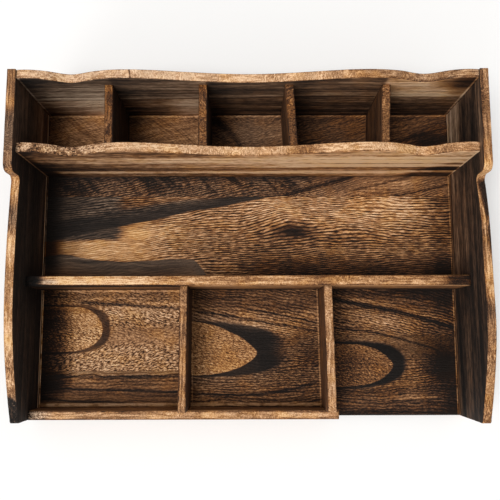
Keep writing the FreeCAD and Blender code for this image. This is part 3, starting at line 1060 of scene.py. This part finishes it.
def sawn_board(node, axis, material, rounding, seed):
    """A board cut to the CAD outline, with worn, slightly uneven edges."""
    low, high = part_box(node)
    outline = dense(cap_outline(node, axis, LOW), OUTLINE_STEP)
    ways = inward(outline)
    foot = low[Z] + 0.5 * MM
    points = []
    turns = list(range(ROUND_TURNS + 1))
    for end, turn in [(LOW, turn) for turn in turns] + [(HIGH, turn) for turn in turns[::-1]]:
        angle = math.pi / 2 * turn / ROUND_TURNS
        for (p, q), way in zip(outline, ways):
            spot = Vector((p * 90, q * 90, seed + end))
            radius = rounding * (0.65 + 0.6 * (0.5 + 0.5 * noise.noise(spot)))
            sunk = SAWN_DENT * max(0, noise.noise(spot * 1.7 + Vector((5, 5, 5))))
            if q < foot:
                radius, sunk = radius * 0.3, 0
            inset = radius * (1 - math.sin(angle)) + sunk
            into = radius * (1 - math.cos(angle))
            level = high[axis] - into if end == HIGH else low[axis] + into
            points.append(place_at(axis, level, p + way.x * inset, q + way.y * inset))
    add_board(node, points, len(outline), axis, material)


def rounded_loop(low, high, radii):
    """Rounded rectangle, anticlockwise; radii of the corners from the low-low one."""
    corners = [(low[0], low[1]), (high[0], low[1]), (high[0], high[1]), (low[0], high[1])]
    loop = []
    for number, ((p, q), radius) in enumerate(zip(corners, radii)):
        mid_p = p + radius if p == low[0] else p - radius
        mid_q = q + radius if q == low[1] else q - radius
        for turn in range(ROUND_TURNS + 1):
            angle = math.pi / 2 * (number + 2 + turn / ROUND_TURNS)
            loop.append((mid_p + radius * math.cos(angle), mid_q + radius * math.sin(angle)))
    return loop


def planed_board(node, axis, material, radii, seed, skew=0):
    """A straight board along an axis, swept from a rounded section with uneven wear."""
    low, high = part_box(node)
    p_axis, q_axis = other_axes(axis)
    span = high[axis] - low[axis]
    section_low = (low[p_axis], low[q_axis])
    section_high = (high[p_axis] - abs(skew), high[q_axis])
    rows = max(2, round(span / SWEEP_STEP))
    points = []
    for row in range(rows + 1):
        share = row / rows
        shift = skew * share - min(skew, 0)
        spots = [Vector((share * span * 60, k * 3.1, seed)) for k in range(len(radii))]
        worn = [radius * (1 + 0.35 * noise.noise(spot)) for radius, spot in zip(radii, spots)]
        loop = rounded_loop(section_low, section_high, worn)
        for p, q in loop:
            dip = noise.noise(Vector((share * span * 45, p * 200, seed + 7)))
            sunk = PLANED_DENT * max(0, dip) if q > high[q_axis] - 2 * MM else 0
            points.append(place_at(axis, low[axis] + span * share, p + shift, q - sunk))
    add_board(node, points, len(loop), axis, material)


# Looks of the boards: (axes along, across and through the board, face, tone of its edges, seed,
# and of its edges the marks, patchiness, curl and wear)
FLOOR_EDGES = (None, 1, 0.5, 0.42)
LOOKS = {
    "floor_front": ("xyz", floor_front_face, 0.22, 1, *FLOOR_EDGES),
    "floor_middle": ("xyz", floor_middle_face, 0.3, 2, *FLOOR_EDGES),
    "floor_rear": ("xyz", floor_rear_face, 0.3, 3, *FLOOR_EDGES),
    "tall": ("xzy", tall_face, 0.72, 4, tall_edge, 0.9, 0.55, 0.3),
    "back": ("xzy", back_face, 0.7, 5, back_edge, 0.8, 0.45, 0.3),
    "left": ("yzx", left_face, 0.67, 6, left_edge, 0.35, 0.25, 0.1),
    "right": ("yzx", right_face, 0.6, 7, right_edge, 0.35, 0.25, 0.1),
    "rail": ("xzy", rail_face, 0.75, 8, rail_edge, 0.35, 0.25, 0.2),
    "lip": ("xzy", lip_face, 0.7, 9, lip_edge, 0.35, 0.25, 0.2),
    "divider": ("yzx", divider_face, 0.44, 10, divider_edge, 0.4, 0.95, 0.25),
    "low_divider": ("yzx", low_divider_face, 0.64, 11, low_divider_edge, 0.4, 0.3, 0.25),
}
paints = {name: board_paint("wood_" + name, *look) for name, look in LOOKS.items()}

# Roundings of the long edges: at a joint, left by the saw, and worn
TIGHT = 0.15 * MM
SAWN = 0.3 * MM
WORN = 1.3 * MM
WORN_TOP = (SAWN, SAWN, WORN, WORN)
FRONT_FLOOR = (1.5 * MM, SAWN, TIGHT, 1.8 * MM)

for number, (node, axis, look, rounding) in enumerate([
    ("left_side", X, "left", 0.7 * MM),
    ("right_side", X, "right", 0.7 * MM),
    ("back_panel_upper", Y, "back", 0.9 * MM),
    ("tall_panel", Y, "tall", 0.9 * MM),
]):
    sawn_board(node, axis, paints[look], rounding, number + 1)
planed_board("back_panel_lower", X, paints["back"], (TIGHT, TIGHT, SAWN, SAWN), 5)
planed_board("middle_rail", X, paints["rail"], WORN_TOP, 6)
planed_board("front_lip", X, paints["lip"], WORN_TOP, 7)
for number, (part, radii) in enumerate([
    ("front", FRONT_FLOOR),
    ("middle", (SAWN, SAWN, TIGHT, TIGHT)),
    ("rear", (SAWN, SAWN, SAWN, TIGHT)),
]):
    planed_board("bottom_board_" + part, X, paints["floor_" + part], radii, number + 8)


def add_divider(node, look, seed):
    """A divider whose rear end stands to the right or left of its front end."""
    front, rear = [min(p for p, q in cap_outline(node, Y, end)) for end in (LOW, HIGH)]
    planed_board(node, Y, paints[look], WORN_TOP, seed, rear - front)


for number in range(1, 5):
    add_divider("rear_divider_" + str(number), "divider", 10 + number)
for side in ("left", "right"):
    add_divider("front_divider_" + side, "low_divider", 20)

steel_paint = steel()
for name, node in nodes.items():
    if name.endswith("_brads"):
        node.data.materials.clear()
        node.data.materials.append(steel_paint)


# Stage

# Colour of both suns and their width in degrees, which softens the shadows
SUN_COLOUR = (1, 0.985, 0.96)
SUN_WIDTH = 28
WORLD_STRENGTH = 0.45
# Half width of the floor, in metres
GROUND_REACH = 20
GROUND_TONE = 0.96
# The camera that was fitted to the photo: place in metres, turns in degrees, lens in millimetres
CAMERA_PLACE = (0, -0.0809, 0.6706)
CAMERA_TURNS = (("Z", -0.155), ("Y", -0.125), ("X", 7.56))
CAMERA_LENS = 47.9
SENSOR_WIDTH = 36


def sun(name, place, energy):
    """A soft sun that shines from a place toward the middle."""
    data = bpy.data.lights.new(name, "SUN")
    data.energy = energy
    data.color = SUN_COLOUR
    data.angle = math.radians(SUN_WIDTH)
    lamp = add_object(name, data)
    turn = (-Vector(place)).to_track_quat("-Z", "Y")
    lamp.matrix_world = Matrix.Translation(place) @ turn.to_matrix().to_4x4()


def add_ground():
    """A pale floor that reaches to the horizon of a low view."""
    signs = ((-1, -1), (1, -1), (1, 1), (-1, 1))
    corners = [(p * GROUND_REACH, q * GROUND_REACH, 0) for p, q in signs]
    mesh = bpy.data.meshes.new("ground")
    mesh.from_pydata(corners, [], [(0, 1, 2, 3)])
    ground = add_object("ground", mesh)
    paint = Paint("ground")
    paint.shader.inputs["Base Color"].default_value = (GROUND_TONE, GROUND_TONE, GROUND_TONE, 1)
    paint.shader.inputs["Roughness"].default_value = 0.9
    mesh.materials.append(paint.material)


def add_world():
    world = bpy.data.worlds.new("studio")
    scene.world = world
    world.use_nodes = True
    background = world.node_tree.nodes["Background"]
    background.inputs["Color"].default_value = (1, 1, 1, 1)
    background.inputs["Strength"].default_value = WORLD_STRENGTH


def add_camera():
    data = bpy.data.cameras.new("camera")
    data.sensor_width = SENSOR_WIDTH
    data.lens = CAMERA_LENS
    camera = add_object("camera", data)
    place = Matrix.Translation(CAMERA_PLACE)
    for axis, degrees in CAMERA_TURNS:
        place = place @ Matrix.Rotation(math.radians(degrees), 4, axis)
    camera.matrix_world = place
    scene.camera = camera


add_ground()
scene.view_settings.view_transform = "Standard"
add_world()
sun("key", (-0.3, -0.22, 1), 2)
sun("fill", (-0.5, -1, 0.55), 0.45)
add_camera()
